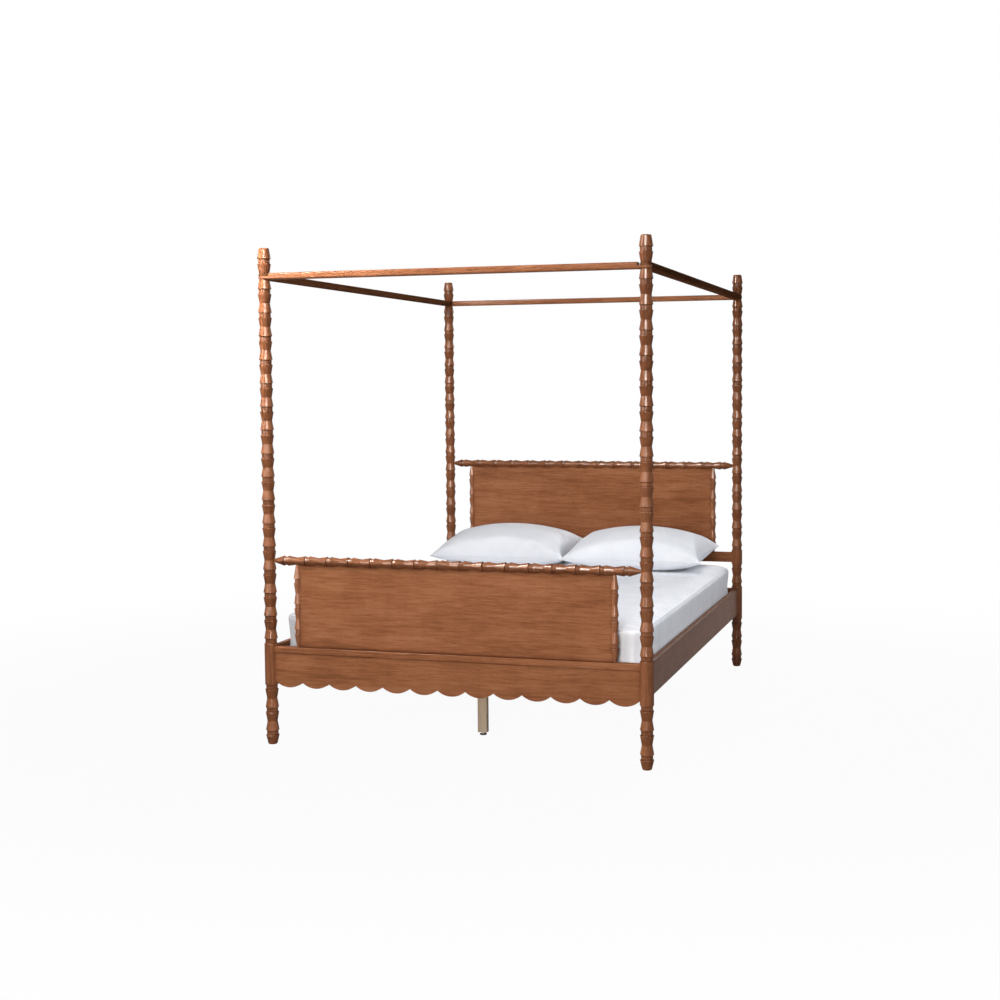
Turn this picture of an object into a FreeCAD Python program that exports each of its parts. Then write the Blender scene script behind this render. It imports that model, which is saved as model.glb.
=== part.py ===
import FreeCAD, Part
import math
import os

from FreeCAD import Vector

# Canopy bed with turned posts. Millimetres; the origin is on the floor under the bed's middle,
# +X is to the right seen from the foot end, +Y runs to the headboard and +Z is up.

# Overall size, over the outsides of the posts and up to the tips of the finials
overall_width = 1625.6
overall_length = 2166.6
overall_height = 2016.8

# Fits shared by the whole bed
joint_clearance = 0.15
soft_clearance = 0.3
slide_clearance = 0.1
cut_overrun = 5.0
full_turn = 360.0

# Turned posts: courses of waisted bobbins with a neck under each
post_wide_diameter = 54.0
post_waist_diameter = 41.5
post_neck_diameter = 46.5
post_neck_height = 19.5
post_edge_break = 1.0
foot_height = 38.25
foot_base_diameter = 38.0
foot_edge_break = 3.0
course_count = 20
rail_block_course = 2
mid_rail_course = 5
foot_rail_course = 7
head_rail_course = 10
split_course = 11

# Finials on top of the posts
finial_tip_height = 43.05
finial_tip_diameter = 41.0
finial_edge_break = 2.0

# Canopy rails, half lapped over each post
canopy_rail_width = 46.0
canopy_rail_thickness = 26.0
canopy_rail_edge_radius = 7.0
canopy_lap_shoulder = 30.0

# Threaded studs hidden in the posts: one across each post's joint, one through each canopy lap
stud_diameter = 10.0
stud_length = 105.0
stud_post_depth = 45.0

# Boards that are housed in the posts
housing_reach = 17.0
rail_top_setback = 11.0
board_edge_radius = 3.0
side_rail_height = 133.0
side_rail_thickness = 25.0
side_rail_outset = 9.0
cap_rail_height = 25.5
cap_rail_thickness = 32.0
apron_height = 140.0
apron_thickness = 22.0
apron_setback = 3.0
scallop_pitch = 116.7
scallop_depth = 22.0
mid_rail_height = 51.0
mid_rail_thickness = 25.0
lower_head_rail_thickness = 22.0
lower_head_rail_inset = 9.0

# Turned top rails of the headboard and the footboard
top_rail_wide_diameter = 41.0
top_rail_waist_diameter = 29.0
top_rail_neck_diameter = 34.0
top_rail_neck_width = 18.0
top_rail_pitch = 94.5
top_rail_least_end = 60.0
top_rail_tip_diameter = 14.0
top_rail_peg_reach = 9.0
tip_stand_off = 2.0
turned_edge_break = 0.8

# Turned spindles and the panels held between them
spindle_wide_diameter = 31.0
spindle_waist_diameter = 20.0
spindle_neck_diameter = 24.0
spindle_neck_height = 19.0
spindle_pitch = 104.0
spindle_least_end = 40.0
spindle_tip_diameter = 14.0
spindle_peg_diameter = 10.0
spindle_peg_depth = 12.0
spindle_top_reach = 8.5
panel_thickness = 12.0
panel_groove_depth = 8.0
panel_edge_inset = 4.0
panel_top_reach = 8.0

# Slatted base
ledger_height = 28.0
ledger_width = 30.0
ledger_end_gap = 62.0
slat_count = 12
slat_width = 80.0
slat_thickness = 18.0
slat_end_gap = 0.8
slat_first_inset = 70.0
beam_width = 45.0
beam_height = 45.0
hanger_thickness = 3.0
hanger_depth = 40.0
hanger_top_gap = 4.0

# Middle legs with screw glides
leg_width = 40.0
leg_thickness = 28.0
leg_spacing = 1380.0
leg_floor_gap = 12.0
leg_edge_radius = 2.0
leg_tenon_diameter = 20.0
leg_tenon_length = 25.0
glide_diameter = 30.0
glide_thickness = 5.0
glide_edge_break = 1.5
glide_socket_depth = 3.5
glide_stem_diameter = 8.0
glide_stem_top = 60.0
glide_travel = 5.0

# Corner brackets: a plate across each corner with two flanges, its bolts, and the slat screws
bracket_setback = 26.0
bracket_flange = 44.0
bracket_thickness = 3.0
bracket_free_gap = 8.0
bolt_diameter = 8.0
bolt_head_diameter = 14.0
bolt_head_height = 5.0
bolt_embed = 15.0
bolt_height_shares = (0.25, 0.75)
post_bolt_embed = 28.0
screw_diameter = 4.5
screw_head_diameter = 9.0
screw_head_height = 3.0
screw_length = 35.0

# Mattress: rounded corners, drawn-in sides and a low crown
mattress_side_gap = 8.0
mattress_end_gap = 31.0
mattress_height = 223.0
mattress_corner_radius = 90.0
mattress_edge_radius = 26.0
mattress_level_shares = (0.0, 0.06, 0.14, 0.5, 0.84, 0.93, 0.98, 1.0)
mattress_inset_shares = (0.8, 0.15, 0.0, 0.3, 0.0, 0.25, 1.0, 3.5)

# Pillows: crowned, with sides drawn in between pointed corners
pillow_width = 680.0
pillow_depth = 500.0
pillow_height = 200.0
pillow_gap = 10.0
pillow_head_gap = 20.0
pillow_side_draw = 26.0
pillow_level_shares = (0.0, 0.05, 0.17, 0.39, 0.48, 0.66, 0.82, 0.93, 0.985, 1.0)
pillow_reach_shares = (0.46, 0.64, 0.83, 1.0, 0.95, 0.83, 0.66, 0.46, 0.26, 0.12)
pillow_draw_shares = (-1.5, -1.2, -0.4, 1.0, 0.6, -0.3, -1.0, -1.4, -1.0, -0.5)

# Places worked out from the sizes above
post_x = (overall_width - post_wide_diameter) / 2
post_y = (overall_length - post_wide_diameter) / 2
necks_height = (course_count + 1) * post_neck_height
ends_height = foot_height + canopy_rail_thickness + finial_tip_height
bobbin_height = (overall_height - ends_height - necks_height) / course_count
post_pitch = post_neck_height + bobbin_height


def neck_middle(course):
    """Height of the middle of the neck under a post's bobbin course."""
    return foot_height + course * post_pitch + post_neck_height / 2


def waist_level(course):
    """Height of the waist of a post's bobbin course."""
    return neck_middle(course) + post_pitch / 2


stud_finial_depth = stud_length - stud_post_depth - canopy_rail_thickness
canopy_bottom = waist_level(course_count - 1)
canopy_middle = canopy_bottom + canopy_rail_thickness / 2
canopy_top = canopy_bottom + canopy_rail_thickness
split_level = neck_middle(split_course)
foot_rail_level = waist_level(foot_rail_course)
head_rail_level = waist_level(head_rail_course)
rail_top = neck_middle(rail_block_course + 2) - post_neck_height / 2 - rail_top_setback
rail_bottom = rail_top - side_rail_height
cap_bottom = rail_top - cap_rail_height
apron_bottom = cap_bottom - apron_height
apron_cusp = apron_bottom + scallop_depth
mid_rail_bottom = waist_level(mid_rail_course) - mid_rail_height / 2
mid_rail_top = mid_rail_bottom + mid_rail_height
side_rail_inner = post_x + side_rail_outset - side_rail_thickness
apron_front = -post_y - cap_rail_thickness / 2 + apron_setback
apron_back = apron_front + apron_thickness
head_board_front = post_y - lower_head_rail_inset
ledger_top = rail_bottom + ledger_height
slat_top = ledger_top + slat_thickness
beam_bottom = ledger_top - beam_height
bracket_bottom = slat_top + bracket_free_gap
bracket_height = cap_bottom - bracket_free_gap - bracket_bottom
housed_x = post_x - housing_reach
housed_y = post_y - housing_reach
top_rail_courses = math.floor(2 * (post_x - top_rail_least_end) / top_rail_pitch)
spindle_x = (top_rail_courses - 1) * top_rail_pitch / 2
mattress_half_x = side_rail_inner - mattress_side_gap
mattress_front = apron_back + mattress_end_gap
mattress_back = head_board_front - mattress_end_gap
mattress_bottom = slat_top + soft_clearance
mattress_top = mattress_bottom + mattress_height
sides = (("left", -1), ("right", 1))
ends = (("foot", -1), ("head", 1))
corners = [(f"{end}_{side}", side_sign, end_sign) for end, end_sign in ends for side, side_sign in sides]
up = Vector(0, 0, 1)
pieces = {}


# Shared shapes

def box(one, other):
    """A box between two opposite corners, given in any order."""
    low = Vector(min(one.x, other.x), min(one.y, other.y), min(one.z, other.z))
    high = Vector(max(one.x, other.x), max(one.y, other.y), max(one.z, other.z))
    size = high - low
    return Part.makeBox(size.x, size.y, size.z, low)


def grown(corner_pair, clearance):
    """The box between a low and a high corner, larger by the clearance on every side."""
    low, high = corner_pair
    spread = Vector(clearance, clearance, clearance)
    return box(low - spread, high + spread)


def board(corner_pair, along, radius):
    """A board with its long edges rounded; along is the direction that it runs in."""
    solid = box(*corner_pair)
    length = abs((corner_pair[1] - corner_pair[0]).dot(along))
    long_edges = [edge for edge in solid.Edges if math.isclose(edge.Length, length)]
    return solid.makeFillet(radius, long_edges)


def turned(pairs):
    """A solid turned about Z from (height, radius) pairs that run upwards."""
    outline = [Vector(0, 0, pairs[0][0])]
    outline += [Vector(radius, 0, height) for height, radius in pairs]
    outline += [Vector(0, 0, pairs[-1][0]), outline[0]]
    return Part.Face(Part.makePolygon(outline)).revolve(Vector(0, 0, 0), up, full_turn)


def necked(middles, neck_width, wide, waist, neck, edge, plain=()):
    """(place, radius) pairs of a row of necks with a waisted bobbin, or a plain stretch, between them."""
    pairs = []
    for number, middle in enumerate(middles):
        start = middle - neck_width / 2
        stop = middle + neck_width / 2
        pairs += [(start - edge, wide / 2), (start, wide / 2 - edge), (start, neck / 2)]
        pairs += [(stop, neck / 2), (stop, wide / 2 - edge), (stop + edge, wide / 2)]
        if number + 1 < len(middles) and number not in plain:
            pairs.append(((middle + middles[number + 1]) / 2, waist / 2))
    return pairs


def rod(start, direction, length, diameter):
    """A round rod or bore from a point."""
    return Part.makeCylinder(diameter / 2, length, start, direction)


def centred_rod(middle, direction, length, diameter):
    """A round rod or bore about its middle point."""
    return rod(middle - direction * (length / 2), direction, length, diameter)


# Corners of the straight boards, from which their housings are cut too

cap_rail_box = (
    Vector(-housed_x, -post_y - cap_rail_thickness / 2, cap_bottom),
    Vector(housed_x, -post_y + cap_rail_thickness / 2, rail_top),
)
apron_tongue_box = (Vector(-housed_x, apron_front, apron_cusp), Vector(housed_x, apron_back, cap_bottom))
mid_rail_box = (
    Vector(-housed_x, post_y - mid_rail_thickness / 2, mid_rail_bottom),
    Vector(housed_x, post_y + mid_rail_thickness / 2, mid_rail_top),
)
lower_head_rail_box = (
    Vector(-housed_x, head_board_front, rail_bottom),
    Vector(housed_x, head_board_front + lower_head_rail_thickness, rail_top),
)


def side_rail_box(side_sign):
    """Low and high corner of a side rail."""
    inner = side_sign * side_rail_inner
    outer = side_sign * (side_rail_inner + side_rail_thickness)
    low = Vector(min(inner, outer), -housed_y, rail_bottom)
    return low, Vector(max(inner, outer), housed_y, rail_top)


# Posts

def post_pairs(plain_courses):
    """(height, radius) pairs of a whole post from the floor to the canopy rails."""
    courses = [course for course in range(course_count) if course != rail_block_course + 1]
    plain = [number for number, course in enumerate(courses) if course in plain_courses]
    foot_radius = foot_base_diameter / 2
    pairs = [(0, foot_radius - foot_edge_break), (foot_edge_break, foot_radius)]
    pairs += necked(
        [neck_middle(course) for course in courses], post_neck_height,
        post_wide_diameter, post_waist_diameter, post_neck_diameter, post_edge_break, plain,
    )
    return pairs + [(canopy_bottom, post_waist_diameter / 2)]


def make_posts(name, side_sign, end_sign):
    """The lower and the upper post of one corner, with every housing and bore."""
    at = Vector(side_sign * post_x, end_sign * post_y, 0)
    plain_courses = [rail_block_course] if end_sign < 0 else [rail_block_course, mid_rail_course]
    pairs = post_pairs(plain_courses)
    split_pair = (split_level, post_neck_diameter / 2)
    lower = turned([pair for pair in pairs if pair[0] < split_level] + [split_pair])
    upper = turned([split_pair] + [pair for pair in pairs if pair[0] > split_level])
    lower.translate(at)
    upper.translate(at)
    if end_sign < 0:
        housed = [cap_rail_box, apron_tongue_box, side_rail_box(side_sign)]
        rail_level = foot_rail_level
    else:
        housed = [mid_rail_box, lower_head_rail_box, side_rail_box(side_sign)]
        rail_level = head_rail_level
    peg_length = 2 * (post_x - top_rail_peg_reach + joint_clearance)
    peg_diameter = top_rail_tip_diameter + 2 * joint_clearance
    rail_middle = Vector(0, end_sign * post_y, rail_level)
    peg_bore = centred_rod(rail_middle, Vector(1, 0, 0), peg_length, peg_diameter)
    split_bore = centred_rod(
        at + up * split_level, up, stud_length + 2 * joint_clearance, stud_diameter + 2 * joint_clearance
    )
    stud_bore = rod(
        at + up * (canopy_bottom - stud_post_depth - joint_clearance), up,
        stud_post_depth + cut_overrun, stud_diameter + 2 * joint_clearance,
    )
    housings = [grown(pair, joint_clearance) for pair in housed]
    bolt_bore = make_post_bolt(side_sign, end_sign, joint_clearance)
    pieces[f"lower_post_{name}"] = lower.cut(housings + [peg_bore, split_bore, bolt_bore])
    pieces[f"upper_post_{name}"] = upper.cut([split_bore, stud_bore])


def make_finial(name, side_sign, end_sign):
    """The turned finial that clamps the canopy laps on its stud."""
    neck = canopy_top + bobbin_height / 2 + post_neck_height / 2
    tip_radius = finial_tip_diameter / 2
    pairs = [(canopy_top, post_waist_diameter / 2)]
    pairs += necked(
        [neck], post_neck_height,
        post_wide_diameter, post_waist_diameter, post_neck_diameter, post_edge_break,
    )
    pairs.append((overall_height - finial_edge_break, tip_radius))
    pairs.append((overall_height, tip_radius - finial_edge_break))
    finial = turned(pairs)
    bore = rod(
        up * (canopy_top - cut_overrun), up,
        stud_finial_depth + cut_overrun + joint_clearance, stud_diameter + 2 * joint_clearance,
    )
    finial = finial.cut(bore)
    finial.translate(Vector(side_sign * post_x, end_sign * post_y, 0))
    pieces[f"finial_{name}"] = finial


def make_studs():
    """The threaded studs inside the post joints and through the canopy laps."""
    studs = []
    for name, side_sign, end_sign in corners:
        at = Vector(side_sign * post_x, end_sign * post_y, 0)
        studs.append(centred_rod(at + up * split_level, up, stud_length, stud_diameter))
        studs.append(rod(at + up * (canopy_bottom - stud_post_depth), up, stud_length, stud_diameter))
    pieces["threaded_studs"] = Part.makeCompound(studs)


# Canopy rails

def canopy_bar(half_length):
    """A bar along X with round ends about the posts' axes and all its outer edges rounded."""
    radius = canopy_rail_width / 2
    tip = half_length + radius
    corner_points = [
        Vector(-half_length, -radius, canopy_bottom), Vector(half_length, -radius, canopy_bottom),
        Vector(half_length, radius, canopy_bottom), Vector(-half_length, radius, canopy_bottom),
    ]
    outline = Part.Wire([
        Part.LineSegment(corner_points[0], corner_points[1]).toShape(),
        Part.Arc(corner_points[1], Vector(tip, 0, canopy_bottom), corner_points[2]).toShape(),
        Part.LineSegment(corner_points[2], corner_points[3]).toShape(),
        Part.Arc(corner_points[3], Vector(-tip, 0, canopy_bottom), corner_points[0]).toShape(),
    ])
    solid = Part.Face(outline).extrude(up * canopy_rail_thickness)
    rims = [edge for edge in solid.Edges if edge.BoundBox.ZLength < canopy_rail_thickness / 2]
    return solid.makeFillet(canopy_rail_edge_radius, rims)


def canopy_rail(half_length, lap_low, lap_high):
    """A canopy rail along X; the layer between lap_low and lap_high is cut away over each post."""
    rail = canopy_bar(half_length)
    cuts = []
    for side, sign in sides:
        shoulder = Vector(sign * (half_length - canopy_lap_shoulder), -canopy_rail_width, lap_low)
        past_tip = Vector(sign * (half_length + canopy_rail_width), canopy_rail_width, lap_high)
        cuts.append(box(shoulder, past_tip))
        cuts.append(centred_rod(
            Vector(sign * half_length, 0, canopy_middle), up,
            canopy_rail_thickness + cut_overrun, stud_diameter + 2 * joint_clearance,
        ))
    return rail.cut(cuts)


def make_canopy():
    """Foot and head rails lie under the side rails at each post."""
    for end, sign in ends:
        rail = canopy_rail(post_x, canopy_middle, canopy_top + cut_overrun)
        rail.translate(Vector(0, sign * post_y, 0))
        pieces[f"canopy_rail_{end}"] = rail
    for side, sign in sides:
        rail = canopy_rail(post_y, canopy_bottom - cut_overrun, canopy_middle)
        rail.rotate(Vector(0, 0, 0), up, full_turn / 4)
        rail.translate(Vector(sign * post_x, 0, 0))
        pieces[f"canopy_rail_{side}"] = rail


# Headboard and footboard

def make_top_rail(y, level):
    """The turned rail between two posts, with pegs that enter their waists."""
    middles = [(number - top_rail_courses / 2) * top_rail_pitch for number in range(top_rail_courses + 1)]
    tip_radius = top_rail_tip_diameter / 2
    peg_end = post_x - top_rail_peg_reach
    cone_start = post_x - post_waist_diameter / 2 - tip_stand_off
    pairs = [(-peg_end, tip_radius), (-cone_start, tip_radius)]
    pairs += necked(
        middles, top_rail_neck_width, top_rail_wide_diameter, top_rail_waist_diameter,
        top_rail_neck_diameter, turned_edge_break,
    )
    pairs += [(cone_start, tip_radius), (peg_end, tip_radius)]
    rail = turned(pairs)
    rail.rotate(Vector(0, 0, 0), Vector(0, 1, 0), full_turn / 4)
    rail.translate(Vector(0, y, level))
    return rail


def make_spindle(x, y, bottom, rail_level):
    """A turned spindle that stands on a board and ends in the turned rail above it."""
    cone_end = rail_level - top_rail_waist_diameter / 2 - tip_stand_off
    span = cone_end - bottom
    courses = math.floor((span - 2 * spindle_least_end) / spindle_pitch)
    first = bottom + (span - courses * spindle_pitch) / 2
    middles = [first + number * spindle_pitch for number in range(courses + 1)]
    tip_radius = spindle_tip_diameter / 2
    peg_radius = spindle_peg_diameter / 2
    pairs = [(bottom - spindle_peg_depth, peg_radius), (bottom, peg_radius), (bottom, tip_radius)]
    pairs += necked(
        middles, spindle_neck_height, spindle_wide_diameter, spindle_waist_diameter,
        spindle_neck_diameter, turned_edge_break,
    )
    pairs += [(cone_end, tip_radius), (rail_level - spindle_top_reach, tip_radius)]
    spindle = turned(pairs)
    spindle.translate(Vector(x, y, 0))
    return spindle


def make_end_frame(end, y, bottom, rail_level, carrier):
    """Turned rail, spindles and panel of one end of the bed; carrier is the board under them."""
    panel_half_x = spindle_x - panel_edge_inset
    panel_box = (
        Vector(-panel_half_x, y - panel_thickness / 2, bottom - panel_groove_depth),
        Vector(panel_half_x, y + panel_thickness / 2, rail_level - panel_top_reach),
    )
    groove = grown(panel_box, joint_clearance)
    rail_cuts = [groove]
    carrier_cuts = [groove]
    for side, sign in sides:
        foot_point = Vector(sign * spindle_x, y, bottom)
        pieces[f"{end}_spindle_{side}"] = make_spindle(sign * spindle_x, y, bottom, rail_level).cut(groove)
        carrier_cuts.append(rod(
            foot_point - up * (spindle_peg_depth + joint_clearance), up,
            spindle_peg_depth + cut_overrun, spindle_peg_diameter + 2 * joint_clearance,
        ))
        top_point = Vector(sign * spindle_x, y, rail_level - spindle_top_reach + joint_clearance)
        rail_cuts.append(rod(
            top_point, -up, top_rail_wide_diameter / 2, spindle_tip_diameter + 2 * joint_clearance
        ))
    pieces[f"{end}_panel"] = box(*panel_box)
    pieces[f"{end}_top_rail"] = make_top_rail(y, rail_level).cut(rail_cuts)
    return carrier.cut(carrier_cuts)


def scalloped_apron():
    """The footboard's lower board, its bottom edge cut in a row of shallow arcs."""
    span = 2 * post_x - post_wide_diameter
    count = round(span / scallop_pitch)
    chord = span / count
    start = Vector(-housed_x, apron_front, apron_cusp)
    cusps = [Vector((number - count / 2) * chord, apron_front, apron_cusp) for number in range(count + 1)]
    stop = Vector(housed_x, apron_front, apron_cusp)
    edges = [Part.LineSegment(start, cusps[0]).toShape()]
    for one, other in zip(cusps, cusps[1:]):
        lowest = (one + other) / 2 - up * scallop_depth
        edges.append(Part.Arc(one, lowest, other).toShape())
    top_right = Vector(housed_x, apron_front, cap_bottom)
    top_left = Vector(-housed_x, apron_front, cap_bottom)
    edges.append(Part.LineSegment(cusps[-1], stop).toShape())
    edges.append(Part.LineSegment(stop, top_right).toShape())
    edges.append(Part.LineSegment(top_right, top_left).toShape())
    edges.append(Part.LineSegment(top_left, start).toShape())
    return Part.Face(Part.Wire(edges)).extrude(Vector(0, apron_thickness, 0))


# Steel corner brackets and their bolts

def bracket_point(side_sign, end_sign, across, along, rise):
    """A point measured inwards from the inner corner of a side rail and an end board."""
    end_face = apron_back if end_sign < 0 else head_board_front
    return Vector(side_sign * (side_rail_inner - across), end_face - end_sign * along, bracket_bottom + rise)


def make_bracket(side_sign, end_sign):
    """A plate across one corner, bent back into a flange on the side rail and one on the end board."""
    bend = bracket_setback + bracket_thickness * (math.sqrt(2) - 1)
    tip = bracket_setback + bracket_flange
    spots = [(0, tip), (0, bracket_setback), (bracket_setback, 0), (tip, 0), (tip, bracket_thickness)]
    spots += [(bend, bracket_thickness), (bracket_thickness, bend), (bracket_thickness, tip)]
    outline = [bracket_point(side_sign, end_sign, across, along, 0) for across, along in spots]
    return Part.Face(Part.makePolygon(outline + outline[:1])).extrude(up * bracket_height)


def make_bolt(seat, direction, length, clearance):
    """A headed bolt whose head rests on the seat; with a clearance, the bore that it needs."""
    shank = rod(seat, direction, length + clearance, bolt_diameter + 2 * clearance)
    head = rod(seat - direction * bolt_head_height, direction, bolt_head_height, bolt_head_diameter)
    return shank.fuse(head).removeSplitter()


def make_flange_bolts(side_sign, end_sign, clearance):
    """The bolts through both flanges of one bracket, or their bores."""
    middle = bracket_setback + bracket_flange / 2
    length = bracket_thickness + bolt_embed
    bolts = []
    for share in bolt_height_shares:
        rise = bracket_height * share
        on_side = bracket_point(side_sign, end_sign, bracket_thickness, middle, rise)
        on_end = bracket_point(side_sign, end_sign, middle, bracket_thickness, rise)
        bolts.append(make_bolt(on_side, Vector(side_sign, 0, 0), length, clearance))
        bolts.append(make_bolt(on_end, Vector(0, end_sign, 0), length, clearance))
    return bolts


def make_post_bolt(side_sign, end_sign, clearance):
    """The long bolt from a bracket's plate into the post, or its bore."""
    seat_offset = bracket_setback / 2 + bracket_thickness / math.sqrt(2)
    seat = bracket_point(side_sign, end_sign, seat_offset, seat_offset, bracket_height / 2)
    direction = Vector(side_sign, end_sign, 0).normalize()
    post_axis = Vector(side_sign * post_x, end_sign * post_y, seat.z)
    length = (post_axis - seat).dot(direction) - post_wide_diameter / 2 + post_bolt_embed
    return make_bolt(seat, direction, length, clearance)


def make_brackets():
    """The corner brackets and all their bolts as groups; returns the bores that the bolts need."""
    brackets = []
    bolts = []
    post_bolts = []
    bores = []
    for name, side_sign, end_sign in corners:
        post_bore = make_post_bolt(side_sign, end_sign, joint_clearance)
        holes = make_flange_bolts(side_sign, end_sign, joint_clearance) + [post_bore]
        brackets.append(make_bracket(side_sign, end_sign).cut(holes))
        bolts += make_flange_bolts(side_sign, end_sign, 0)
        post_bolts.append(make_post_bolt(side_sign, end_sign, 0))
        bores += holes
    pieces["corner_brackets"] = Part.makeCompound(brackets)
    pieces["bracket_bolts"] = Part.makeCompound(bolts)
    pieces["post_bolts"] = Part.makeCompound(post_bolts)
    return bores


# Slatted base

def slat_places():
    """Y of the middle of each slat."""
    first = apron_back + slat_first_inset
    last = head_board_front - slat_first_inset
    return [first + (last - first) * number / (slat_count - 1) for number in range(slat_count)]


def screw_shape(clearance):
    """A countersunk screw with its head at the origin; with a clearance, the hole that it needs."""
    shank = screw_diameter / 2 + clearance
    head = screw_head_diameter / 2 + clearance
    return turned([(-screw_length - clearance, shank), (-screw_head_height, shank), (0, head)])


def make_base():
    """Ledgers, slats and the screws that hold the slats down."""
    screw_x = side_rail_inner - ledger_width / 2
    slat_half = side_rail_inner - slat_end_gap
    spots = [Vector(sign * screw_x, y, slat_top) for y in slat_places() for side, sign in sides]
    holes = [screw_shape(joint_clearance).translated(spot) for spot in spots]
    pieces["slat_screws"] = Part.makeCompound([screw_shape(0).translated(spot) for spot in spots])
    for number, y in enumerate(slat_places()):
        low = Vector(-slat_half, y - slat_width / 2, ledger_top)
        high = Vector(slat_half, y + slat_width / 2, slat_top)
        slat = board((low, high), Vector(1, 0, 0), board_edge_radius)
        pieces[f"slat_{number + 1:02d}"] = slat.cut(holes[2 * number: 2 * number + 2])
    for side, sign in sides:
        inner_x = side_rail_inner - ledger_width
        front = Vector(sign * side_rail_inner, apron_back + ledger_end_gap, rail_bottom)
        back = Vector(sign * inner_x, head_board_front - ledger_end_gap, ledger_top)
        pieces[f"ledger_{side}"] = box(front, back).cut(holes)


def make_hanger(face_y, end_sign):
    """A steel stirrup on an end board that carries one end of the centre beam."""
    half = beam_width / 2 + joint_clearance
    outer_half = half + hanger_thickness
    bottom = beam_bottom - hanger_thickness
    top = ledger_top - hanger_top_gap
    reach = face_y - end_sign * hanger_depth
    outer = box(Vector(-outer_half, face_y, bottom), Vector(outer_half, reach, top))
    back = face_y - end_sign * hanger_thickness
    past = reach - end_sign * cut_overrun
    return outer.cut(box(Vector(-half, back, beam_bottom), Vector(half, past, top + cut_overrun)))


def make_centre_support():
    """Centre beam in its hangers, the middle legs and their screw glides."""
    half = beam_width / 2
    start = apron_back + hanger_thickness
    stop = head_board_front - hanger_thickness
    hangers = [make_hanger(apron_back, -1), make_hanger(head_board_front, 1)]
    pieces["beam_hangers"] = Part.makeCompound(hangers)
    beam = box(Vector(-half, start, beam_bottom), Vector(half, stop, ledger_top))
    tenon_bores = []
    for end, sign in ends:
        at = Vector(0, sign * leg_spacing / 2, 0)
        half_leg = Vector(leg_width / 2, leg_thickness / 2, 0)
        leg_box = (at - half_leg + up * leg_floor_gap, at + half_leg + up * beam_bottom)
        leg = board(leg_box, up, leg_edge_radius)
        tenon = centred_rod(at + up * beam_bottom, up, 2 * leg_tenon_length, leg_tenon_diameter)
        tenon_bores.append(rod(
            at + up * (beam_bottom - cut_overrun), up,
            leg_tenon_length + cut_overrun + joint_clearance, leg_tenon_diameter + 2 * joint_clearance,
        ))
        stem_bore = rod(
            at, up, glide_stem_top + glide_travel + cut_overrun, glide_stem_diameter + 2 * slide_clearance
        )
        pieces[f"middle_leg_{end}"] = leg.fuse(tenon).removeSplitter().cut(stem_bore)
        make_glide(end, at)
    pieces["centre_beam"] = beam.cut(tenon_bores)


def make_glide(end, at):
    """A screw glide: a round pad on the floor and its threaded stem up into the leg."""
    pad_radius = glide_diameter / 2
    pad = turned([
        (0, pad_radius - glide_edge_break), (glide_edge_break, pad_radius),
        (glide_thickness - glide_edge_break, pad_radius), (glide_thickness, pad_radius - glide_edge_break),
    ])
    pad.translate(at)
    stem_bottom = glide_thickness - glide_socket_depth
    stem = rod(at + up * stem_bottom, up, glide_stem_top - stem_bottom, glide_stem_diameter)
    socket = rod(at + up * stem_bottom, up, glide_thickness, glide_stem_diameter + 2 * joint_clearance)
    pieces[f"glide_pad_{end}"] = pad.cut(socket)
    pieces[f"glide_stem_{end}"] = stem


# Mattress and pillows

def rounded_outline(half_x, low_y, high_y, radius, level):
    """A closed wire: a rectangle with quarter-circle corners."""
    diagonal = radius * (1 - math.sqrt(0.5))
    points = []
    for sign_x, y, sign_y in ((1, low_y, -1), (1, high_y, 1), (-1, high_y, 1), (-1, low_y, -1)):
        x = sign_x * half_x
        on_x = Vector(x, y - sign_y * radius, level)
        on_y = Vector(x - sign_x * radius, y, level)
        middle = Vector(x - sign_x * diagonal, y - sign_y * diagonal, level)
        first_on_y = sign_x * sign_y < 0
        points.append((on_y, middle, on_x) if first_on_y else (on_x, middle, on_y))
    edges = []
    for number, (start, middle, stop) in enumerate(points):
        following = points[(number + 1) % len(points)][0]
        edges.append(Part.Arc(start, middle, stop).toShape())
        edges.append(Part.LineSegment(stop, following).toShape())
    return Part.Wire(edges)


def make_mattress():
    """A soft block lofted through rounded outlines, drawn in at mid height and crowned on top."""
    sections = []
    for level_share, inset_share in zip(mattress_level_shares, mattress_inset_shares):
        inset = mattress_edge_radius * inset_share
        level = mattress_bottom + mattress_height * level_share
        sections.append(rounded_outline(
            mattress_half_x - inset, mattress_front + inset, mattress_back - inset,
            mattress_corner_radius, level,
        ))
    pieces["mattress"] = Part.makeLoft(sections, True, True)


def pillow_outline(middle, reach_share, draw_share):
    """A closed wire through four corners, each side an arc drawn in or bowed out."""
    half_x = pillow_width / 2 * reach_share
    half_y = pillow_depth / 2 * reach_share
    draw = pillow_side_draw * draw_share
    signs = ((-1, -1), (1, -1), (1, 1), (-1, 1))
    points = [middle + Vector(sign_x * half_x, sign_y * half_y, 0) for sign_x, sign_y in signs]
    inward = (Vector(0, 1, 0), Vector(-1, 0, 0), Vector(0, -1, 0), Vector(1, 0, 0))
    edges = []
    for number, start in enumerate(points):
        stop = points[(number + 1) % len(points)]
        through = (start + stop) / 2 + inward[number] * draw
        edges.append(Part.Arc(start, through, stop).toShape())
    return Part.Wire(edges)


def make_pillow(side, sign):
    """A plump pillow lofted from its underside through its seam to its crown."""
    x = sign * (pillow_width + pillow_gap) / 2
    head_face = post_y - top_rail_wide_diameter / 2
    y = head_face - pillow_head_gap - pillow_depth / 2
    sections = []
    shares = zip(pillow_level_shares, pillow_reach_shares, pillow_draw_shares)
    for level_share, reach_share, draw_share in shares:
        level = mattress_top + soft_clearance + pillow_height * level_share
        sections.append(pillow_outline(Vector(x, y, level), reach_share, draw_share))
    pieces[f"pillow_{side}"] = Part.makeLoft(sections, True, True)


# The whole bed

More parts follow.
